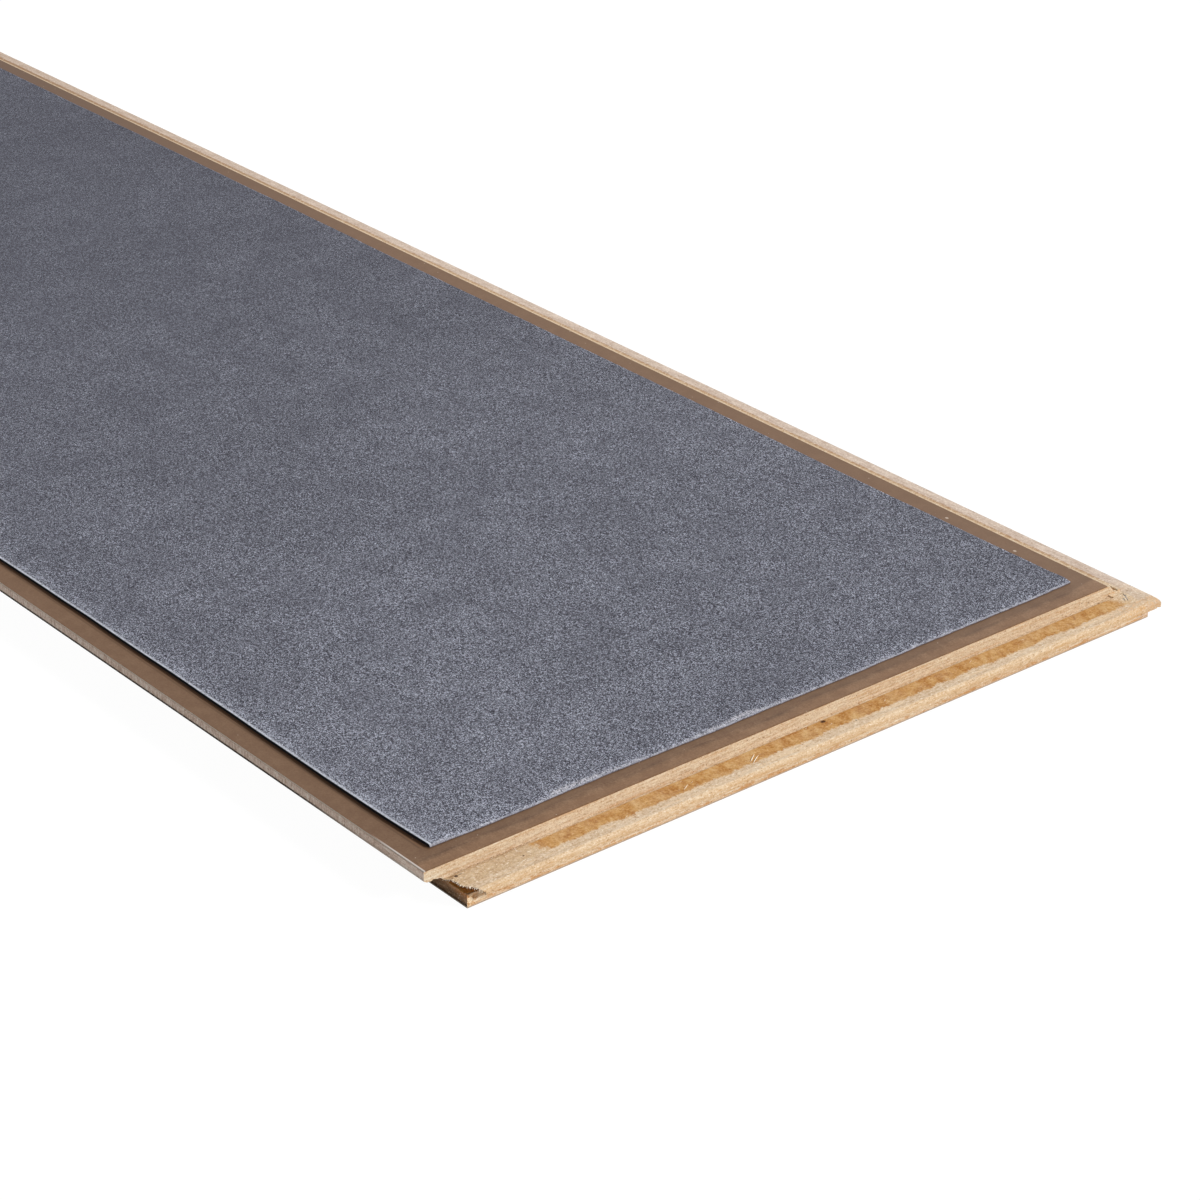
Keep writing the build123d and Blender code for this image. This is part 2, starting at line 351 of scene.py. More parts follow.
def pressed_layers(p):
    """Layers of the board, which show as streaks along the end faces."""
    layers = p.noise(0.7, detail=3, rough=0.6, stretch=(1, 0.03, 1.25), shift=15.0)
    p.tint(srgb(204, 156, 102), p.times(p.standing, p.step(layers, 0.52, 0.64, 0.0, 0.5)))
    p.tint(srgb(242, 226, 202), p.times(p.standing, p.step(layers, 0.47, 0.36, 0.0, 0.5)))
    p.tint(srgb(230, 212, 186), p.times(p.standing, 0.1))


def milled_tops(p):
    """Milled faces that look up are greyer, the far tongue most of all."""
    p.tint(srgb(203, 180, 152), p.times(p.up, 0.3))
    worn = p.times(p.up, p.step(p.inward, 28.0, 22.0))
    worn_tone = p.ramp(p.grit, (0.4, srgb(166, 130, 92)), (0.6, srgb(206, 178, 142)))
    p.tint(worn_tone, p.times(worn, 0.65))
    # Far tongue, its duller stretch and its brown crest, partly the crest's own brown and partly painted
    # shade where the crest meets the recess
    far = p.times(p.step(p.beyond, 3.9, 4.6), p.step(p.out, -6.0, 2.0, 0.8, 0.42))
    blots = p.noise(2.2, detail=4, rough=0.7, stretch=(0.4, 1, 1), shift=1.0)
    blots = p.blend((blots, 0.5), (p.grit, 0.5))
    p.tint(p.ramp(blots, (0.4, srgb(168, 148, 136)), (0.6, srgb(214, 199, 188))), far)
    remote = p.times(p.step(p.beyond, 0.5, 1.0), p.step(p.x, *DULL_STRETCH))
    p.tint(srgb(150, 126, 106), p.times(remote, p.step(p.beyond, 5.0, 4.2, 0.3, 0.8)))
    # Painted shade: a darker brown line along the far tongue's crest
    crest = p.between(p.beyond, FAR_CREST_START - 0.35, FAR_CREST_END - 0.05, 0.25)
    crest = p.times(crest, p.step(p.out, -2.0, -9.0))
    p.tint(srgb(160, 116, 76), p.times(crest, p.step(p.streaks, 0.4, 0.62, 0.2, 0.75)))


def wandering_edge(p):
    """How far out the wax reaches along the short tongue."""
    long_waves = p.noise(8, detail=2, stretch=(0, 1, 0))
    short_waves = p.noise(1.7, detail=3, stretch=(0, 1, 0))
    wander = p.blend((long_waves, 2.4), (short_waves, 0.8))
    wander = p.add(wander, p.times(p.noise(0.5, detail=3, rough=0.7, shift=8.0), 1.2))
    return p.add(3.4, wander)


def pale_band(p, wax_edge):
    """Pale band between wax and tip on the short tongue, with streaks drawn along it."""
    pale = p.step(p.less(p.out, wax_edge), -0.4, 0.5)
    pale = p.times(pale, p.step(p.out, SHOULDER_OUT + 0.4, SHOULDER_OUT - 0.4), p.up)
    drawn = p.noise(0.8, detail=3, rough=0.65, stretch=(1, 0.06, 1), shift=18.0)
    pale_tone = p.ramp(
        p.blend((p.grit, 0.6), (drawn, 0.4)),
        (0.4, srgb(184, 152, 118)),
        (0.5, srgb(209, 186, 160)),
        (0.6, srgb(230, 212, 190)),
    )
    p.tint(pale_tone, p.times(pale, 0.66))
    outer_streaks = p.times(p.up, p.step(p.out, 5.0, 6.0), p.step(drawn, 0.5, 0.62, 0.0, 0.5))
    p.tint(srgb(222, 190, 148), outer_streaks)


def wiped_wax(p, wax_edge):
    """Wax wiped along the short tongue, with a ragged start and end. Returns where it lies."""
    soft = p.blend((p.noise(0.8, detail=3, rough=0.75, shift=2.0), 1.6), (p.out, 1.0))
    wax = p.step(p.less(p.add(wax_edge, 0.8), soft), -0.2, 0.35)
    wax = p.times(wax, p.step(p.out, CREST_START - 0.2, CREST_START))
    wax = p.times(wax, p.step(p.z, SHOULDER_HEIGHT - 0.2, SHOULDER_HEIGHT), p.step(p.face_x, 0.9, 0.7))
    starts = p.blend((p.noise(1.3, detail=4, rough=0.7), 8.0), (p.inward, 1.0), (p.out, -0.7))
    wax = p.times(wax, p.step(starts, 26.0, 28.2))
    ends = p.blend((p.noise(1.0, detail=3, rough=0.7), 3.6), (p.beyond, 1.0), (p.out, -0.8))
    wax = p.times(wax, p.step(ends, 0.8, -2.6))
    wax_tone = p.ramp(
        p.blend((p.noise(2.4, detail=4, rough=0.7), 0.6), (p.grit, 0.4)),
        (0.4, srgb(160, 103, 42)),
        (0.5, srgb(189, 141, 82)),
        (0.62, srgb(208, 170, 118)),
    )
    strength = p.step(p.noise(5, detail=3, shift=6.0), 0.3, 0.6, 0.86, 0.98)
    p.tint(wax_tone, p.times(wax, strength))
    return wax


def end_face_foot_shade(p):
    """Painted shade: a thin dark line in the crease along the foot of the end face, strongest near the
    broken corner.
    """
    broken = p.step(p.noise(0.8, detail=4, rough=0.75, stretch=(0, 1, 0)), 0.38, 0.6, 0.1, 1.0)
    face_foot = p.step(p.z, RECESS_HEIGHT + 0.28, RECESS_HEIGHT + 0.12)
    face_foot = p.times(face_foot, p.step(p.face_x, 0.7, 0.9))
    foot = p.math("MAXIMUM", face_foot, p.between(p.out, CREST_START - 0.15, CREST_START, 0.06))
    line = p.times(foot, broken, p.step(p.out, CREST_START + 0.3, CREST_START + 0.2))
    line = p.times(line, p.step(p.inward, 24.0, 30.0, 0.95, 0.5))
    line = p.times(line, p.step(p.inward, 6.3, 6.7), p.step(p.beyond, 0.4, -0.4))
    p.tint(srgb(104, 68, 40), line)


def face_lip_glue(p):
    """Darker glue low on the lip that carries the face, its ochre patches and its far corner."""
    on_lip = p.step(p.out, FACE_OUT - 0.7, FACE_OUT - 0.4)
    low = p.times(p.between(p.z, 0.35, 0.7, 0.15), on_lip)
    low = p.times(low, p.step(p.streaks, 0.42, 0.6, 0.2, 1.0))
    p.tint(srgb(203, 149, 92), p.times(low, 0.75))
    patches = p.noise(1.5, detail=4, rough=0.75, stretch=(1, 0.45, 1), shift=17.0)
    patches = p.times(p.standing, p.step(patches, 0.49, 0.6), p.step(p.z, 2.6, 1.2, 0.3, 1.0), on_lip)
    p.tint(srgb(196, 141, 84), p.times(patches, 0.75))
    corner = p.times(p.step(p.beyond, -9.0, 1.0), p.step(p.out, 5.2, 6.2), p.step(p.grit, 0.46, 0.58))
    p.tint(srgb(218, 160, 92), p.times(corner, 0.45))


# Dark flecks that the photo shows: place, radii and strength
FLECKS = (
    ((687.9, 2.8, 5.5), (0.55, 0.85, 0.6), 0.97),
    ((690.0, -78.9, 5.3), (0.22, 0.28, 0.6), 0.85),
    ((687.9, -93.96, 5.55), (0.5, 0.5, 0.6), 0.95),
    ((687.8, -92.9, 5.55), (0.2, 0.6, 0.6), 0.6),
    ((691.4, 9.1, 5.2), (0.3, 0.3, 0.6), 0.6),
    ((693.0, -25.1, 5.1), (0.2, 0.25, 0.6), 0.5),
)


def dark_flecks(p):
    """Flecks scattered over the board, and the ones that the photo shows."""
    scattered = p.step(p.cells(2.4, output="Distance"), 0.09, 0.045)
    p.tint(srgb(128, 82, 48), p.times(scattered, 0.7))
    for centre, radii, strength in FLECKS:
        p.tint(srgb(66, 38, 20), p.times(p.spot(centre, radii), strength))


def near_lip_side_shade(p):
    """Milled side of the near lip, painted pale and grey for the cool light in its shade, with a painted
    shadow along its lower arris.
    """
    near_side = p.times(p.to_near_side, p.step(p.inward, 0.3, 0.1))
    # Bands along the lip near the broken corner, upright hatching elsewhere
    hatch = p.noise(0.55, detail=3, rough=0.65, stretch=(1, 1, 0.2))
    bands = p.noise(0.5, detail=3, rough=0.65, stretch=(0.08, 1, 1), shift=2.0)
    near_end = p.step(p.x, 660.0, 674.0)
    marks = p.add(p.times(hatch, p.less(1.0, near_end)), p.times(bands, near_end))
    # Painted shade tint: the side's colour is paled and greyed for the cool light that reaches it
    dust = p.ramp(
        p.blend((marks, 0.6), (p.grit, 0.4)),
        (0.38, srgb(192, 164, 146)),
        (0.5, srgb(234, 209, 193)),
        (0.62, srgb(252, 240, 228)),
    )
    p.tint(dust, p.times(near_side, 0.95))
    # Painted shadow under the lip's lower arris
    arris = p.times(near_side, p.step(p.z, 6.32, 6.05), p.step(p.x, 668.0, 640.0, 0.3, 0.97))
    p.tint(srgb(40, 32, 28), arris)


def groove_inside(p):
    """Painted shade on the streaky side of the face's lip, the glue-soaked hollow painted brighter for the
    bounce light inside it, and painted shade on the torn web's underside.
    """
    side = p.times(p.to_near_side, p.step(p.z, SEAM_HEIGHT + 0.05, SEAM_HEIGHT - 0.05))
    side = p.times(side, p.step(p.inward, FACE_INWARD + 0.3, FACE_INWARD + 0.1))
    blots = p.noise(0.9, detail=4, rough=0.7, stretch=(0.22, 1, 1))
    # Painted shade: the side's streaky colour, darkened for the shade under the overhanging lip
    painted_shade = p.ramp(
        p.blend((blots, 0.7), (p.specks, 0.3)),
        (0.38, srgb(110, 80, 56)),
        (0.5, srgb(158, 122, 92)),
        (0.62, srgb(212, 178, 144)),
    )
    # Painted light: the upper part of the shaded side is lighter and warmer
    warm = p.times(p.step(p.z, 1.6, 2.8), p.step(p.out, 0.0, 3.5, 0.3, 0.8))
    painted_shade = p.mix(painted_shade, srgb(214, 142, 84), p.times(warm, p.step(p.grit, 0.36, 0.6, 0.3, 1.0)))
    # Painted shade: darkest low on the side
    painted_shade = p.mix(painted_shade, srgb(54, 38, 28), p.times(p.step(p.z, 1.0, 0.5), 0.85))
    p.tint(painted_shade, p.times(side, 0.94))
    # Glue-soaked hollow, its orange painted brighter than its own colour to stand in for bounce light inside
    # it
    hollow = p.step(p.inward, FACE_INWARD - 0.05, FACE_INWARD + 0.1)
    hollow = p.times(hollow, p.step(p.inward, GROOVE_BOTTOM + 0.25, GROOVE_BOTTOM + 0.1))
    hollow = p.times(hollow, p.between(p.z, 2.99, 4.5, 0.03))
    hollow = p.times(hollow, p.step(p.out, FACE_OUT - 0.2, FACE_OUT - 0.5))
    glue = p.ramp(
        p.grit,
        (0.36, srgb(232, 150, 62)),
        (0.52, srgb(255, 196, 104)),
        (0.66, srgb(255, 226, 156)),
    )
    p.tint(glue, p.times(hollow, 0.95))
    # Painted shade on the underside of the torn web
    web = p.times(p.step(p.face_z, 0.3, 0.1), p.step(p.out, 0.1, 0.25), p.step(p.inward, 8.4, 8.2))
    web = p.times(web, p.step(p.z, 3.3, 3.5))
    web = p.times(web, p.step(p.out, 8.4, 8.3))
    p.tint(srgb(112, 72, 40), web)


def chipped_lip(p):
    """Pale chipped corner of the lip that carries the face, painted warmer on the facets that lie in shade.
    """
    chipped = p.times(p.step(p.out, FACE_OUT - 0.05, FACE_OUT), p.step(p.inward, 9.5, 7.5))
    chipped = p.times(chipped, p.step(p.z, SEAM_HEIGHT + 0.1, SEAM_HEIGHT))
    chips = p.ramp(
        p.noise(0.9, detail=4, rough=0.75, stretch=(1, 0.8, 0.8), distortion=0.8, shift=5.0),
        (0.4, srgb(188, 128, 74)),
        (0.48, srgb(222, 180, 132)),
        (0.58, srgb(255, 232, 196)),
    )
    # Painted warm bounce light on the facets that turn toward the near side and lie in shade
    warm = p.times(p.step(p.z, 1.9, 2.7), p.step(p.face_y, -0.1, -0.4, 0.15, 0.75))
    chips = p.mix(chips, srgb(232, 162, 92), warm)
    p.tint(chips, p.times(chipped, 0.85))


def milled_fibres(p, wax):
    """Golden tip of the short tongue, and fine dark and pale fibres over everything milled."""
    tip = p.times(p.step(p.out, SHOULDER_OUT + 0.02, SHOULDER_OUT + 0.15), p.step(p.face_z, 0.8, 0.6))
    p.tint(srgb(206, 162, 110), p.times(tip, 0.4))
    fibres = p.noise(0.36, detail=2, rough=0.6, stretch=(1, 0.6, 1.3), shift=21.0)
    p.tint(srgb(152, 104, 62), p.step(fibres, 0.42, 0.28, 0.0, 0.6))
    bare = p.step(wax, 0.0, 1.0, 0.6, 0.15)
    p.tint(srgb(252, 243, 226), p.times(p.step(fibres, 0.58, 0.72), bare))


def board_paint():
    p = BoardPaint("board_fibres")
    tone = raw_fibres(p)
    pressed_layers(p)
    milled_tops(p)
    wax_edge = wandering_edge(p)
    pale_band(p, wax_edge)
    wax = wiped_wax(p, wax_edge)
    end_face_foot_shade(p)
    face_lip_glue(p)
    dark_flecks(p)
    near_lip_side_shade(p)
    groove_inside(p)
    chipped_lip(p)
    milled_fibres(p, wax)
    p.bump(tone, strength=0.3, distance=0.12)
    return p.finish(roughness=0.85, specular=0.12)


# Torn fibres and loose chips of the same board

def fibre_paint(name, dark, pale):
    p = Paint(name)
    p.color = p.mix(dark, pale, p.step(p.noise(0.35, detail=3, rough=0.7), 0.35, 0.65))
    p.bump(p.noise(0.12), strength=0.2, distance=0.05)
    return p.finish(roughness=0.9, specular=0.1)


# Brown paper film

def film_by_pad(p):
    """Painted shadow of the pad's near edge on the film: a dark line at its outer border, and a warm lighter
    strip painted where the cast shadow falls.
    """
    strip = p.times(p.step(p.y, PAD_LOW.y + 3, PAD_LOW.y + 2), p.step(p.x, 680.0, 677.0))
    # Painted shadow: dark line at the outer border of the pad's shadow
    painted_shade = p.times(strip, p.step(p.y, PAD_LOW.y - 1.4, PAD_LOW.y - 1.2))
    painted_shade = p.times(painted_shade, p.step(p.y, PAD_LOW.y - 0.6, PAD_LOW.y - 1.0))
    p.tint(srgb(72, 50, 32), p.times(painted_shade, 0.85))
    # Painted light inside the cast shadow: a warmer, lighter strip
    shaded = p.times(strip, p.step(p.y, PAD_LOW.y - 0.95, PAD_LOW.y - 0.7))
    p.tint(srgb(134, 96, 64), p.times(shaded, 0.8))


def end_strips_and_shade(p):
    """Strips along the short end: painted shade next to the pad, a darker painted streak within it, lighter
    to the edge.
    """
    wander = p.step(p.noise(22, detail=3, stretch=(0, 1, 0)), 0.25, 0.75, -0.7, 0.7)
    from_end = p.add(p.less(FILM_HIGH.x, p.x), wander)
    # Painted shade beside the pad
    p.tint(srgb(101, 75, 55), p.step(from_end, 3.6, 4.6, 0.0, 0.62))
    smear = p.noise(1.6, detail=4, rough=0.65, stretch=(1, 0.14, 1), shift=3.0)
    # Painted shade: a blurred darker streak parallel to the end
    streak = p.times(p.between(from_end, 3.0, 4.1, 0.8), p.step(smear, 0.36, 0.62, 0.2, 1.0))
    streak = p.times(streak, p.step(p.y, FILM_HIGH.y - 5, FILM_HIGH.y - 11, 0.1, 1.0))
    p.tint(srgb(66, 46, 33), p.times(streak, 0.65))
    outer = p.times(p.step(from_end, 3.2, 1.2), p.step(smear, 0.35, 0.65, 0.55, 1.0))
    p.tint(srgb(133, 99, 71), p.times(outer, 0.5))


# Pale specks of board dust lie all over the film, and two larger ones at these places
FILM_SPECKS = ((637.0, 88.2, 8.0), (659.6, 88.0, 8.0))


def film_paint():
    p = Paint("brown_film")
    flat = p.noise(3.5, detail=4, rough=0.65)
    fine = p.noise(0.45, detail=4, rough=0.8)
    p.color = p.ramp(
        p.blend((flat, 0.4), (fine, 0.6)),
        (0.4, srgb(108, 78, 55)),
        (0.5, srgb(124, 94, 69)),
        (0.6, srgb(142, 112, 86)),
    )
    # Lighter along the far side, duller far from the short end
    far_side = p.step(p.y, PAD_HIGH.y - 1.66, PAD_HIGH.y + 0.34)
    p.tint(srgb(156, 122, 94), p.times(far_side, 0.3))
    p.tint(srgb(92, 70, 55), p.times(p.step(p.x, *DULL_STRETCH), far_side, 0.95))
    film_by_pad(p)
    end_strips_and_shade(p)
    dust = p.times(p.step(p.cells(3.4, output="Distance", shift=7.0), 0.06, 0.03), 0.55)
    for centre in FILM_SPECKS:
        dust = p.math("MAXIMUM", dust, p.times(p.spot(centre, (0.55, 0.4, 1.0)), 0.8))
    p.tint(srgb(205, 190, 172), dust)
    # Cut edge of the film along the near side, painted light as the highlight on that arris, with a painted
    # highlight along the top of the edge near the corner
    p.tint(srgb(236, 226, 214), p.times(p.step(p.face_y, -0.5, -0.8), 0.85))
    painted_arris_highlight = p.times(p.step(p.y, FILM_LOW.y + 0.42, FILM_LOW.y + 0.22), p.step(p.x, 666.0, 676.0, 0.0, 0.85))
    p.tint(srgb(214, 204, 196), painted_arris_highlight)
    p.bump(p.blend((fine, 0.6), (flat, 0.4)), strength=0.12, distance=0.06)
    return p.finish(roughness=0.55, specular=0.18)


# Printed wood grain of the face, seen when the plank is turned over

def face_paint():
    p = Paint("printed_grain")
    bands = p.noise(9, detail=5, rough=0.6, stretch=(0.035, 1, 1), distortion=0.6)
    pores = p.noise(0.8, detail=3, rough=0.65, stretch=(0.02, 1, 1))
    p.color = p.ramp(
        p.blend((bands, 0.7), (pores, 0.3)),
        (0.3, srgb(98, 80, 64)),
        (0.45, srgb(128, 107, 88)),
        (0.58, srgb(150, 129, 108)),
        (0.75, srgb(170, 150, 129)),
    )
    # Paler cut edge
    p.tint(srgb(190, 170, 148), p.times(p.step(p.face_z, -0.9, -0.5), 0.8))
    p.bump(pores, strength=0.25, distance=0.1)
    return p.finish(roughness=0.42, specular=0.45)


PAINTS = {
    "fibreboard": board_paint(),
    "decor": face_paint(),
    "backing": film_paint(),
    "pad": pad_paint(),
    "torn": fibre_paint("torn_fibres", srgb(222, 200, 168), srgb(252, 244, 228)),
    "fibre": fibre_paint("loose_fibre", srgb(226, 205, 170), srgb(250, 240, 222)),
    "grey_chip": fibre_paint("grey_chip", srgb(158, 146, 136), srgb(204, 192, 180)),
}


# CAD nodes that stay in view

NODE_PAINTS = {"core_board": "fibreboard", "decor_layer": "decor", "backing_film": "backing"}

for node_name, slot_name in NODE_PAINTS.items():
    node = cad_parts[node_name]
    node.data.materials.clear()
    node.data.materials.append(PAINTS[slot_name])


# Helpers for new pieces

def new_piece(name, mesh, slot_name, paint=None):
    piece = bpy.data.objects.new(name, mesh)
    bpy.context.scene.collection.objects.link(piece)
    piece.data.materials.append(PAINTS[paint or slot_name])
    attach(piece, "root")
    return piece


def mesh_from(bm, name, smooth_above=None):
    """Mesh with outward faces. Faces that look up or down by more than smooth_above are smooth."""
    bmesh.ops.recalc_face_normals(bm, faces=bm.faces)
    mesh = bpy.data.meshes.new(name)
    bm.to_mesh(mesh)
    bm.free()
    if smooth_above is not None:
        for polygon in mesh.polygons:
            polygon.use_smooth = abs(polygon.normal.z) > smooth_above
    return mesh


def close_sheet(bm, top, foot):
    """Closes a grid of points into a solid. foot gives the place below a point of the rim.
    Returns each point of the rim with the one below it."""
    columns, rows = len(top), len(top[0])
    for i in range(columns - 1):
        for j in range(rows - 1):
            bm.faces.new((top[i][j], top[i + 1][j], top[i + 1][j + 1], top[i][j + 1]))
    rim = [top[i][0] for i in range(columns)] + [top[-1][j] for j in range(1, rows)]
    rim += [top[i][-1] for i in range(columns - 2, -1, -1)] + [top[0][j] for j in range(rows - 2, 0, -1)]
    low = [bm.verts.new(foot(vertex)) for vertex in rim]
    for k in range(len(rim)):
        following = (k + 1) % len(rim)
        bm.faces.new((rim[k], low[k], low[following], rim[following]))
    bm.faces.new(low[::-1])
    return list(zip(rim, low))


def value_at(place, line):
    """Value of a broken line, given as points, at a place; held beyond both ends."""
    if place <= line[0][0]:
        return line[0][1]
    for (a, low), (b, high) in zip(line, line[1:]):
        if place <= b:
            return low + (high - low) * (place - a) / (b - a)
    return line[-1][1]


def fade(away, reach):
    """1 at an edge, falling to 0 at a distance from it."""
    return max(0, 1 - away / reach)


def wave(place, size, seed):
    """Wandering value along an edge, between -1 and 1, whose waves are about size long."""
    return noise.noise(Vector((place / size, seed * 7.31, 0.5)))


# Pad: a sheet with wavy cut edges, pressed thinner at both short ends and along the near edge

EDGE_BAND = 6.0  # a cut edge's strays fade out over this distance
NEAR_OVERHANG = 0.2  # the near edge leans out over its foot
END_PRESS, END_PRESS_REACH = 0.42, 3.0  # share of the thickness left at the short ends
CORNER_PRESS, CORNER_PRESS_REACH = 0.75, 8.0  # and where the short end meets the near edge
NEAR_PRESS, NEAR_PRESS_REACH = 0.75, 1.4
END_WEAR, END_WEAR_REACH = 0.85, 26.0  # the visible near corner is worn back a little
NEAR_WEAR, NEAR_WEAR_REACH = 0.8, 20.0
WEAR_BEND = 1.5
PAD_ROUGHNESS = 0.02
# How far the cut edges stray, by place along the edge
FAR_EDGE = [
    (290, 0.0), (350, -0.35), (440, -0.55), (520, -0.58), (570, -0.92),
    (610, -0.78), (650, -0.6), (673, -0.42), (680, 0.2),
]
NEAR_EDGE = [(500, 0.0), (560, 0.3), (590, 0.36), (612, 0.17), (645, -0.12), (661, 0.0), (679, -0.25)]
END_EDGE = [
    (-95, 0.25), (-80, 0.08), (-68, -0.22), (-50, -0.28), (-38, 0.0), (-16, 0.02),
    (-5, -0.18), (7, 0.06), (40, -0.08), (56, -0.3), (84, -0.52),
]


def spread(low, high, fine, coarse, band):
    """Places from low to high, dense within band of both ends."""
    places = []
    at = low
    while at < high - fine * 0.5:
        places.append(at)
        near = min(at - low, high - at)
        at += fine + (coarse - fine) * min(max(near / band, 0), 1)
    places.append(high)
    return places


def pad_shift(x, y):
    """How far a point of the pad moves along and across, because its cut edges aren't straight."""
    from_start, from_end = x - PAD_LOW.x, PAD_HIGH.x - x
    from_near, from_far = y - PAD_LOW.y, PAD_HIGH.y - y
    start = 0.2 * wave(y, 12, 9)
    end = 0.14 * wave(y, 6, 6) + 0.28 * wave(y, 30, 7) + 0.1 * wave(y, 1.6, 8) - 0.1
    end += value_at(y, END_EDGE) - END_WEAR * fade(from_near, END_WEAR_REACH) ** WEAR_BEND
    near = 0.16 * wave(x, 14, 1) + 0.3 * wave(x, 60, 2) + value_at(x, NEAR_EDGE) - NEAR_OVERHANG
    near += NEAR_WEAR * fade(from_end, NEAR_WEAR_REACH) ** WEAR_BEND
    far = 0.14 * wave(x, 14, 4) + 0.3 * wave(x, 70, 5) + value_at(x, FAR_EDGE)
    along = end * fade(from_end, EDGE_BAND) + start * fade(from_start, EDGE_BAND)
    across = near * fade(from_near, EDGE_BAND) + far * fade(from_far, EDGE_BAND)
    return along, across


def pad_thickness(x, y):
    """Thickness of the pad at a point, pressed down towards the cut edges."""
    from_near = y - PAD_LOW.y
    end_press = END_PRESS + (CORNER_PRESS - END_PRESS) * fade(from_near, CORNER_PRESS_REACH)
    share = 1.0
    for away, press, reach in (
        (PAD_HIGH.x - x, end_press, END_PRESS_REACH),
        (x - PAD_LOW.x, END_PRESS, END_PRESS_REACH),
        (from_near, NEAR_PRESS, NEAR_PRESS_REACH),
    ):
        if away < reach:
            share = min(share, press + (1 - press) * math.sin(math.pi / 2 * away / reach))
    rough = PAD_ROUGHNESS * (noise.noise(Vector((x / 6, y / 6, 3.0))) - 1)
    return (PAD_HIGH.z - PAD_LOW.z) * share + rough


def pad_mesh():
    bm = bmesh.new()
    to_near = bm.verts.layers.float.new("to_near")
    to_end = bm.verts.layers.float.new("to_end")
    top = []
    for x in spread(PAD_LOW.x, PAD_HIGH.x, fine=0.3, coarse=3.1, band=14):
        column = []
        for y in spread(PAD_LOW.y, PAD_HIGH.y, fine=0.22, coarse=1.0, band=6):
            along, across = pad_shift(x, y)
            height = min(PAD_LOW.z + pad_thickness(x, y), PAD_HIGH.z)
            vertex = bm.verts.new(((x + along) * MM, (y + across) * MM, height * MM))
            vertex[to_near] = y - PAD_LOW.y
            vertex[to_end] = PAD_HIGH.x - x
            column.append(vertex)
        top.append(column)

    def foot(vertex):
        lean = NEAR_OVERHANG if vertex[to_near] == 0 else 0.0
        return (vertex.co.x, vertex.co.y + lean * MM, PAD_LOW.z * MM)

    for above, below in close_sheet(bm, top, foot):
        below[to_near] = above[to_near]
        below[to_end] = above[to_end]
    return mesh_from(bm, "pad_sheet", smooth_above=0.5)


pad = new_piece("pad_sheet", pad_mesh(), "pad")
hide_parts("underlay_pad")


# Broken corner: torn flakes along the ragged line, and loose fibres on the short tongue

TEAR_LINE = [
    (0, 4.6), (1.65, 4.3), (2.75, 4.45), (3.85, 5.0), (5.0, 5.05),
    (5.85, 5.55), (7.0, 6.7), (7.75, 7.2), (8.45, 8.2),
]
TEETH_OUT = 8.4  # the teeth stay inside the tongue's tip
SLOPE_TOP = [(CREST_END, CREST_HEIGHT), (SHOULDER_OUT, SHOULDER_HEIGHT), (TIP_OUT, TIP_HEIGHT)]
WORN_TOP = [(0.2, RECESS_HEIGHT)] + SLOPE_TOP
CREST_TOP = [(RECESS_OUT, RECESS_HEIGHT), (CREST_START, CREST_HEIGHT)] + SLOPE_TOP
FLAKE_THICKNESS = 0.05


def on_board(out, inward, lift=0.0, outline=CREST_TOP):
    """Point on the top of the short tongue, or lifted off it."""
    return Vector((FILM_HIGH.x + out, FILM_LOW.y + inward, value_at(out, outline) + lift))


def add_shard(bm, base_a, base_b, tip, thickness=FLAKE_THICKNESS):
    """Thin flake with a straight root and a pointed tip."""
    down = Vector((0, 0, -thickness))
    upper = [bm.verts.new(point * MM) for point in (base_a, base_b, tip)]
    lower = [bm.verts.new((point + down) * MM) for point in (base_a, base_b, tip)]
    bm.faces.new(upper)
    bm.faces.new(lower[::-1])
    for k in range(3):
        bm.faces.new((upper[k], lower[k], lower[(k + 1) % 3], upper[(k + 1) % 3]))


def add_teeth(bm, draw, start, end, pitch, half_width, length, back, drop):
    """Row of pointed flakes along one stretch of the torn line."""
    along = (end - start).normalized()
    outside = Vector((along.y, -along.x))
    count = max(1, round((end - start).length / pitch))
    for k in range(count):
        root = start + (end - start) * (k + 0.5 + draw.uniform(-0.35, 0.35)) / count - outside * back
        half = along * half_width * draw.uniform(0.6, 1.1)
        reach = length * draw.uniform(0.45, 1.15)
        point = root + outside * (back + reach) + along * draw.uniform(-0.2, 0.2)
        lift = draw.uniform(0.0, 0.05)
        low, high = (
            on_board(min(spot.x, TEETH_OUT), spot.y, lift, WORN_TOP) for spot in (root - half, root + half)
        )
        tip = on_board(min(point.x, TEETH_OUT), point.y, -drop * draw.uniform(0.2, 1.1), WORN_TOP)
        add_shard(bm, low, high, tip, draw.uniform(0.03, 0.07))


def torn_fringe():
    draw = random.Random(11)
    bm = bmesh.new()
    for start, end in zip(TEAR_LINE, TEAR_LINE[1:]):
        stretch = (bm, draw, Vector(start), Vector(end))
        add_teeth(*stretch, pitch=0.55, half_width=0.17, length=0.42, back=0.1, drop=0.4)
        add_teeth(*stretch, pitch=0.2, half_width=0.08, length=0.18, back=0.12, drop=0.15)
    return mesh_from(bm, "torn_fringe")


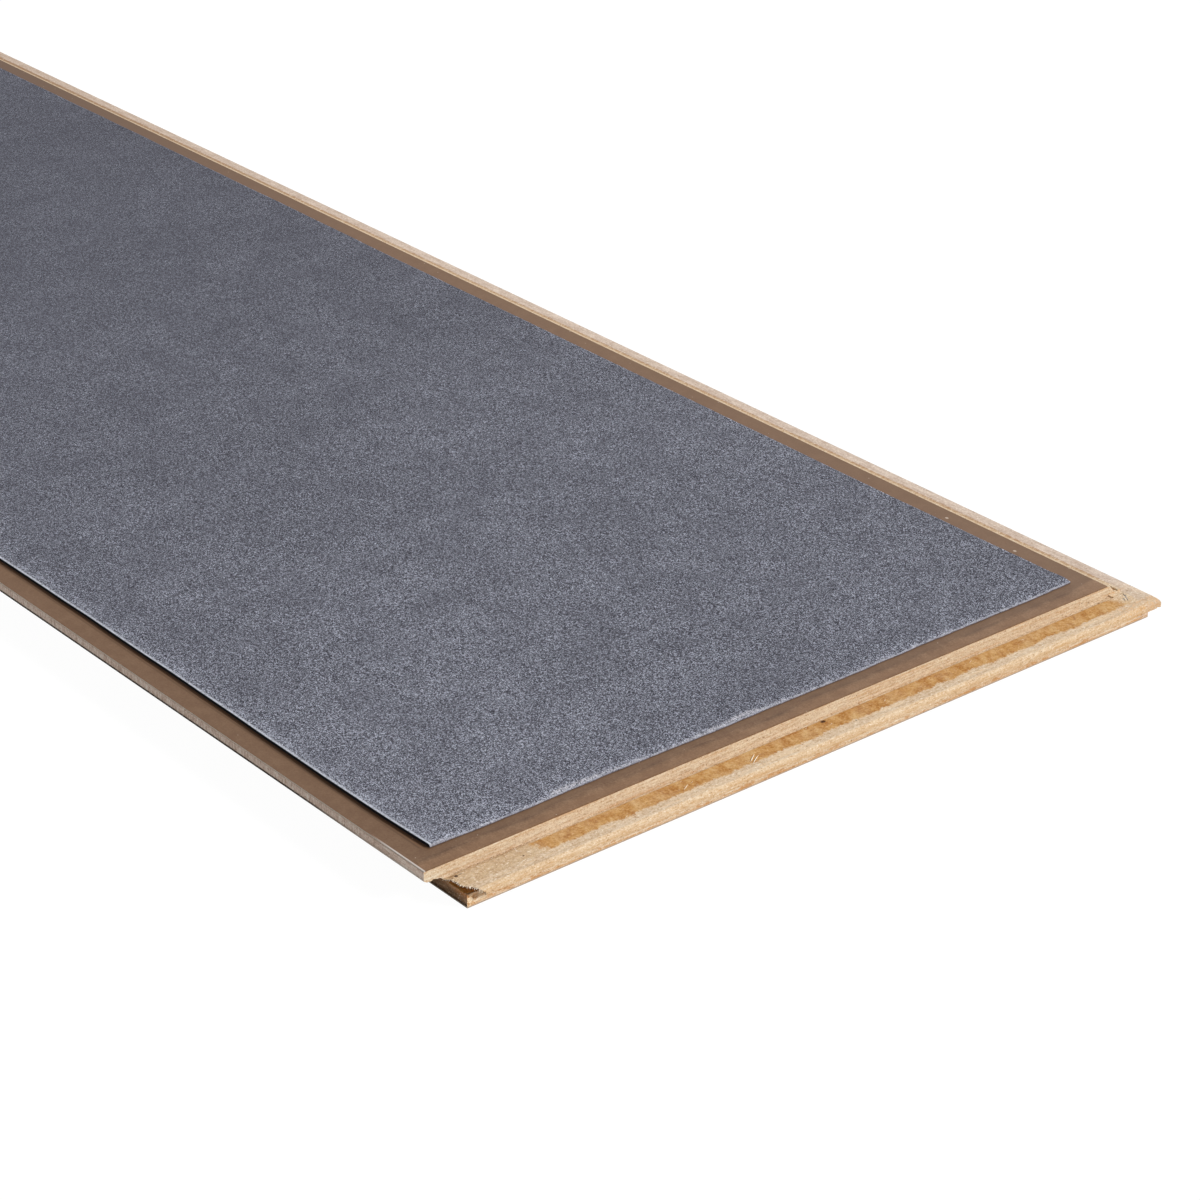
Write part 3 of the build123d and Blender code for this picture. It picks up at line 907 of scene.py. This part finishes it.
def add_strand(bm, points, radius, sides=5):
    """Thin round strand that tapers to both ends."""
    rings = []
    for k, point in enumerate(points):
        before = points[max(k - 1, 0)]
        after = points[min(k + 1, len(points) - 1)]
        ahead = (after - before).normalized()
        across = ahead.cross(Vector((0, 0, 1))).normalized()
        above = across.cross(ahead).normalized()
        share = math.sin(math.pi * (k + 0.6) / (len(points) + 0.2))
        size = radius * (0.35 + 0.65 * share)
        ring = []
        for side in range(sides):
            angle = 2 * math.pi * side / sides
            aside = across * math.cos(angle) + above * math.sin(angle)
            ring.append(bm.verts.new((point + aside * size) * MM))
        rings.append(ring)
    for one, two in zip(rings, rings[1:]):
        for side in range(sides):
            following = (side + 1) % sides
            bm.faces.new((one[side], one[following], two[following], two[side]))
    bm.faces.new(rings[0][::-1])
    bm.faces.new(rings[-1])


# Strands that the photo shows: both ends, out and inward, and radius
SEEN_STRANDS = [
    ((5.0, 80.1), (3.4, 82.5), 0.1),
    ((5.6, 80.4), (4.15, 83.0), 0.1),
    ((4.9, 62.2), (4.0, 64.0), 0.08),
    ((6.2, 18.6), (5.6, 20.8), 0.07),
    ((5.65, 20.9), (6.1, 22.4), 0.06),
]
SMALL_STRANDS = 26
STRAND_POINTS = 7


def loose_strands():
    draw = random.Random(5)
    bm = bmesh.new()
    strands = list(SEEN_STRANDS)
    for _ in range(SMALL_STRANDS):
        out = draw.uniform(2.0, 7.6)
        inward = draw.uniform(9.0, 189.0)
        turn = draw.uniform(-0.5, 0.5) + math.pi / 2
        length = draw.uniform(0.5, 1.3)
        end = (min(out + math.cos(turn) * length, 7.7), inward + math.sin(turn) * length)
        strands.append(((out, inward), end, draw.uniform(0.03, 0.05)))
    for (ax, ay), (bx, by), radius in strands:
        bow = draw.uniform(-0.15, 0.15)
        points = []
        for k in range(STRAND_POINTS):
            share = k / (STRAND_POINTS - 1)
            arch = math.sin(math.pi * share)
            out = ax + (bx - ax) * share + bow * arch
            inward = ay + (by - ay) * share
            points.append(on_board(out, inward, radius * 0.8 + 0.06 * arch))
        add_strand(bm, points, radius)
    return mesh_from(bm, "loose_strands")


def chips(name, count, seed, low, high, size):
    """Small flat flakes that lie on the short tongue."""
    draw = random.Random(seed)
    bm = bmesh.new()
    for _ in range(count):
        out = draw.uniform(low[0], high[0])
        inward = draw.uniform(low[1], high[1])
        turn = draw.uniform(0, 2 * math.pi)
        length = size * draw.uniform(0.5, 1.0)
        reach = Vector((math.cos(turn), math.sin(turn))) * length
        half = Vector((-math.sin(turn), math.cos(turn))) * length * draw.uniform(0.2, 0.35)
        middle = Vector((out, inward))
        spots = (middle - half, middle + half, middle + reach)
        add_shard(bm, *(on_board(spot.x, spot.y, draw.uniform(0.03, 0.08)) for spot in spots))
    return mesh_from(bm, name)


# Flakes at the far corner: both ends of the root and the tip, each out and inward
CORNER_FLAKES = (
    ((2.2, 194.45), (2.5, 194.75), (4.7, 193.45)),
    ((1.5, 194.6), (1.75, 194.8), (2.6, 194.35)),
    ((3.1, 193.2), (3.3, 193.45), (4.3, 192.9)),
)


def corner_flakes():
    """Small grey flakes at the far corner, where the two recesses would cross."""
    bm = bmesh.new()
    for a, b, tip in CORNER_FLAKES:
        add_shard(bm, on_board(*a, 0.06), on_board(*b, 0.14), on_board(*tip, 0.07))
    return mesh_from(bm, "corner_flakes")


# Burr between the two tongues' recesses: its reach out and beyond, and its heights
BURR_OUT = (-3.4, 1.65)
BURR_BEYOND = (-3.0, 4.0)
BURR_COLUMNS, BURR_ROWS = 20, 24
BURR_FOOT, BURR_EDGE, BURR_RISE, BURR_ROUGHNESS = 4.5, 4.58, 0.9, 0.12


def recess_burr():
    """Pressed fibres that fill the corner where the two tongues' recesses meet."""
    bm = bmesh.new()
    top = []
    for i in range(BURR_COLUMNS + 1):
        out = BURR_OUT[0] + (BURR_OUT[1] - BURR_OUT[0]) * i / BURR_COLUMNS
        outward_rise = min(1.0, 0.55 + 1.8 * i / BURR_COLUMNS)
        column = []
        for j in range(BURR_ROWS + 1):
            beyond = BURR_BEYOND[0] + (BURR_BEYOND[1] - BURR_BEYOND[0]) * j / BURR_ROWS
            height = BURR_EDGE + BURR_RISE * min(1.0, (1.35 * j / BURR_ROWS) ** 0.6) * outward_rise
            if 0 < j < BURR_ROWS:
                height += BURR_ROUGHNESS * noise.noise(Vector((out * 2.5, beyond * 2.5, 1.0)))
            column.append(bm.verts.new(Vector((FILM_HIGH.x + out, FILM_HIGH.y + beyond, height)) * MM))
        top.append(column)
    close_sheet(bm, top, lambda vertex: (vertex.co.x, vertex.co.y, BURR_FOOT * MM))
    return mesh_from(bm, "recess_burr", smooth_above=0.5)


new_piece("recess_burr", recess_burr(), "fibreboard")
new_piece("corner_flakes", corner_flakes(), "fibreboard", "grey_chip")
new_piece("torn_fringe", torn_fringe(), "fibreboard", "torn")
new_piece("loose_strands", loose_strands(), "fibreboard", "fibre")
pale_chips = chips("pale_chips", count=9, seed=3, low=(6.0, 81.2), high=(7.2, 82.8), size=0.4)
new_piece("pale_chips", pale_chips, "fibreboard", "fibre")


# Floor, light and camera

FLOOR_HALF = 12.0  # metres
FLOOR_GREY = 0.82
FLOOR_SHARE = 0.93  # part of the floor's look that doesn't depend on the light
FLOOR_GLOW = 1.045
WHITE = (1, 1, 1, 1)


def stage_floor():
    mesh = bpy.data.meshes.new("floor")
    corners = [(-1, -1), (1, -1), (1, 1), (-1, 1)]
    mesh.from_pydata([(x * FLOOR_HALF, y * FLOOR_HALF, 0) for x, y in corners], [], [(0, 1, 2, 3)])
    floor = bpy.data.objects.new("floor", mesh)
    bpy.context.scene.collection.objects.link(floor)
    material = bpy.data.materials.new("floor_white")
    material.use_nodes = True
    tree = material.node_tree
    tree.nodes.clear()
    output = tree.nodes.new("ShaderNodeOutputMaterial")
    diffuse = tree.nodes.new("ShaderNodeBsdfDiffuse")
    diffuse.inputs["Color"].default_value = (FLOOR_GREY, FLOOR_GREY, FLOOR_GREY, 1)
    glow = tree.nodes.new("ShaderNodeEmission")
    glow.inputs["Color"].default_value = WHITE
    glow.inputs["Strength"].default_value = FLOOR_GLOW
    rays = tree.nodes.new("ShaderNodeLightPath")
    share = tree.nodes.new("ShaderNodeMath")
    share.operation = "MULTIPLY"
    share.inputs[1].default_value = FLOOR_SHARE
    mixed = tree.nodes.new("ShaderNodeMixShader")
    tree.links.new(rays.outputs["Is Camera Ray"], share.inputs[0])
    tree.links.new(share.outputs[0], mixed.inputs[0])
    tree.links.new(diffuse.outputs[0], mixed.inputs[1])
    tree.links.new(glow.outputs[0], mixed.inputs[2])
    tree.links.new(mixed.outputs[0], output.inputs["Surface"])
    mesh.materials.append(material)


def studio_world(strength):
    """White where it is seen, mirrored or seen through, and a soft light of some strength elsewhere."""
    world = bpy.data.worlds.new("studio")
    bpy.context.scene.world = world
    world.use_nodes = True
    tree = world.node_tree
    tree.nodes.clear()
    output = tree.nodes.new("ShaderNodeOutputWorld")
    back = tree.nodes.new("ShaderNodeBackground")
    rays = tree.nodes.new("ShaderNodeLightPath")
    seen = rays.outputs["Is Camera Ray"]
    for other in ("Is Glossy Ray", "Is Transmission Ray"):
        either = tree.nodes.new("ShaderNodeMath")
        either.operation = "MAXIMUM"
        tree.links.new(seen, either.inputs[0])
        tree.links.new(rays.outputs[other], either.inputs[1])
        seen = either.outputs[0]
    level = tree.nodes.new("ShaderNodeMapRange")
    level.inputs["To Min"].default_value = strength
    level.inputs["To Max"].default_value = 1.0
    tree.links.new(seen, level.inputs["Value"])
    tree.links.new(level.outputs["Result"], back.inputs["Strength"])
    back.inputs["Color"].default_value = WHITE
    tree.links.new(back.outputs[0], output.inputs["Surface"])


def soft_sun(name, towards, level, angle):
    """Wide soft lamp. level is what it adds to a surface that faces it, angle its width in degrees."""
    data = bpy.data.lights.new(name, "SUN")
    data.energy = level * math.pi
    data.angle = math.radians(angle)
    lamp = bpy.data.objects.new(name, data)
    lamp.rotation_mode = "QUATERNION"
    lamp.rotation_quaternion = Vector(towards).to_track_quat("Z", "Y")
    bpy.context.scene.collection.objects.link(lamp)


# Viewpoint of the photo, in millimetres and degrees, and its lens on a 36 mm wide sensor
CAMERA_PLACE = Vector((1154.94, -431.69, 361.20))
CAMERA_YAW, CAMERA_PITCH, CAMERA_ROLL = 51.28, 27.15, -0.53
SENSOR_WIDTH = 36.0
LENS = 103.47


def photo_camera():
    yaw, pitch, roll = (math.radians(angle) for angle in (CAMERA_YAW, CAMERA_PITCH, CAMERA_ROLL))
    ahead = Vector((-math.sin(yaw) * math.cos(pitch), math.cos(yaw) * math.cos(pitch), -math.sin(pitch)))
    right = Vector((math.cos(yaw), math.sin(yaw), 0))
    down = ahead.cross(right)
    turned_right = right * math.cos(roll) - down * math.sin(roll)
    turned_down = right * math.sin(roll) + down * math.cos(roll)
    data = bpy.data.cameras.new("photo_view")
    data.sensor_width = SENSOR_WIDTH
    data.lens = LENS
    data.clip_start = 0.05
    data.clip_end = 60.0
    camera = bpy.data.objects.new("photo_view", data)
    bpy.context.scene.collection.objects.link(camera)
    turn = Matrix((turned_right, -turned_down, -ahead)).transposed()
    camera.matrix_world = Matrix.Translation(CAMERA_PLACE * MM) @ turn.to_4x4()
    return camera


stage_floor()
studio_world(strength=0.2)
soft_sun("key", towards=(0.75, 0.5, 0.52), level=0.8, angle=12)
soft_sun("back", towards=(-0.2, 0.8, 0.75), level=0.55, angle=40)
bpy.context.scene.camera = photo_camera()
bpy.context.scene.view_settings.view_transform = "Standard"
